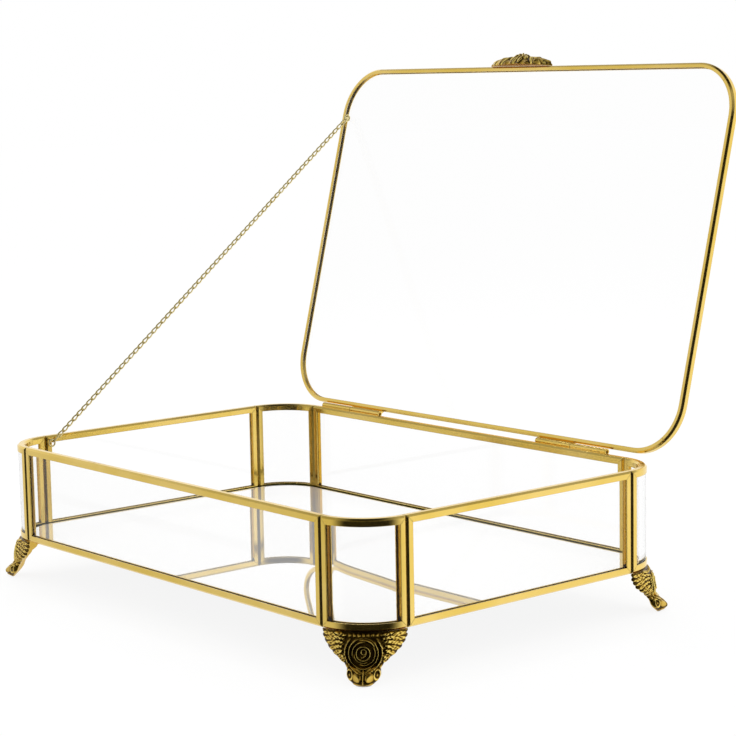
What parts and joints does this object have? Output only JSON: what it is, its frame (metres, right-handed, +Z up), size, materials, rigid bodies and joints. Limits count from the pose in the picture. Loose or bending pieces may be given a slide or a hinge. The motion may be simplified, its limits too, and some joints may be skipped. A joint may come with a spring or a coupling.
{
  "type": "glass casket box",
  "caption": "Rectangular clear-glass keepsake casket in brass channel with rounded corners, mirror floor, hinged lid on a chain stay and cast corner feet.",
  "frame": {"origin": "centre of the mirror floor's upper face", "axes": "+Z up, +X along the hinge line to the right as seen from the front, -Y to the front, away from the hinges"},
  "size_m": [0.2834, 0.2451, 0.2556],
  "materials": {
    "channel_brass": "polished rolled brass channel",
    "cast_brass": "polished cast brass, darker in the hollows",
    "pin_brass": "drawn brass wire",
    "chain_brass": "pale gold-plated wire",
    "clear_glass": "clear polished sheet glass",
    "mirror": "silvered glass",
    "backing_felt": "black felt under the mirror"
  },
  "bodies": {
    "box": {"front_top_rail": "channel_brass", "front_bottom_rail": "channel_brass", "front_left_stile": "channel_brass", "front_right_stile": "channel_brass", "back_top_rail": "channel_brass", "back_bottom_rail": "channel_brass", "back_left_stile": "channel_brass", "back_right_stile": "channel_brass", "left_top_rail": "channel_brass", "left_bottom_rail": "channel_brass", "left_front_stile": "channel_brass", "left_back_stile": "channel_brass", "right_top_rail": "channel_brass", "right_bottom_rail": "channel_brass", "right_front_stile": "channel_brass", "right_back_stile": "channel_brass", "corner_fl_top_rail": "channel_brass", "corner_fl_bottom_rail": "channel_brass", "corner_fl_stile_a": "channel_brass", "corner_fl_stile_b": "channel_brass", "corner_fr_top_rail": "channel_brass", "corner_fr_bottom_rail": "channel_brass", "corner_fr_stile_a": "channel_brass", "corner_fr_stile_b": "channel_brass", "corner_br_top_rail": "channel_brass", "corner_br_bottom_rail": "channel_brass", "corner_br_stile_a": "channel_brass", "corner_br_stile_b": "channel_brass", "corner_bl_top_rail": "channel_brass", "corner_bl_bottom_rail": "channel_brass", "corner_bl_stile_a": "channel_brass", "corner_bl_stile_b": "channel_brass", "front_glass": "clear_glass", "back_glass": "clear_glass", "left_glass": "clear_glass", "right_glass": "clear_glass", "corner_fl_glass": "clear_glass", "corner_fr_glass": "clear_glass", "corner_br_glass": "clear_glass", "corner_bl_glass": "clear_glass", "mirror_floor": "mirror", "mirror_backing": "backing_felt", "foot_fl": "cast_brass", "foot_fr": "cast_brass", "foot_br": "cast_brass", "foot_bl": "cast_brass", "hinge_left_box_tube": "channel_brass", "hinge_left_pin": "pin_brass", "hinge_right_box_tube": "channel_brass", "hinge_right_pin": "pin_brass", "box_chain_eye": "chain_brass", "stay_chain": "chain_brass"},
    "lid": {"lid_frame": "channel_brass", "lid_frame_end": "channel_brass", "lid_glass": "clear_glass", "lid_flower": "cast_brass", "hinge_left_lid_tube": "channel_brass", "hinge_right_lid_tube": "channel_brass", "lid_chain_eye": "chain_brass"}
  },
  "joints": [
    {"name": "lid_hinge", "type": "hinge", "parent": "box", "child": "lid", "pos_m": [0, 0.0941, 0.0448], "axis": [1, 0, 0], "range_deg": [0, 104.5], "deforming": ["stay_chain"]}
  ]
}
